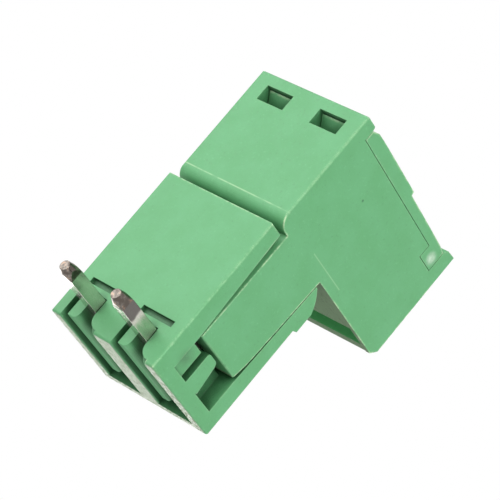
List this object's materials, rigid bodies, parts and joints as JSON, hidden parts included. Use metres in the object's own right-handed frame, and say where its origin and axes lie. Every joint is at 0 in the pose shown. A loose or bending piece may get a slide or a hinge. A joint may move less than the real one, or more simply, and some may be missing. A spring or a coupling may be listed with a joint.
{
  "type": "pluggable pcb screw terminal",
  "caption": "Right-angle board header, open at both sides, with its screw plug pushed home; the screws raise cages that clamp the wires.",
  "frame": {"origin": "middle of the row of solder pins, on the face that sits on the board", "axes": "+Z away from the board, +Y the way the plug pulls off, X along the row of poles"},
  "size_m": [0.0102, 0.0216, 0.0201],
  "materials": {
    "green_plastic": "fine moulded texture",
    "tinned_wire": "tin plated",
    "contact_strip": "tin plated",
    "cage_metal": "nickel plated",
    "screw_steel": "zinc plated"
  },
  "bodies": {
    "header": {"header_housing": "green_plastic", "header_pin_1": "tinned_wire", "header_pin_2": "tinned_wire"},
    "plug": {"plug_housing": "green_plastic", "plug_cover": "green_plastic", "contact_1": "contact_strip", "contact_2": "contact_strip"},
    "screw_1": {"clamp_screw_1": "screw_steel"},
    "screw_2": {"clamp_screw_2": "screw_steel"},
    "cage_1": {"clamp_cage_1": "cage_metal"},
    "cage_2": {"clamp_cage_2": "cage_metal"}
  },
  "joints": [
    {"name": "plug_pull", "type": "slide", "parent": "header", "child": "plug", "axis": [0, 1, 0], "range_m": [0, 0.0085]},
    {"name": "screw_turn_1", "type": "hinge", "parent": "plug", "child": "screw_1", "pos_m": [-0.00254, 0.0156, 0.012], "axis": [0, 0, -1], "range_deg": [0, 2016]},
    {"name": "screw_turn_2", "type": "hinge", "parent": "plug", "child": "screw_2", "pos_m": [0.00254, 0.0156, 0.012], "axis": [0, 0, -1], "range_deg": [0, 2016]},
    {"name": "cage_rise_1", "type": "slide", "parent": "plug", "child": "cage_1", "axis": [0, 0, 1], "range_m": [0, 0.0028]},
    {"name": "cage_rise_2", "type": "slide", "parent": "plug", "child": "cage_2", "axis": [0, 0, 1], "range_m": [0, 0.0028]}
  ],
  "couplings": [
    {"joint": "screw_turn_1", "follows": "cage_rise_1", "rad_per_m": 12566},
    {"joint": "screw_turn_2", "follows": "cage_rise_2", "rad_per_m": 12566}
  ]
}
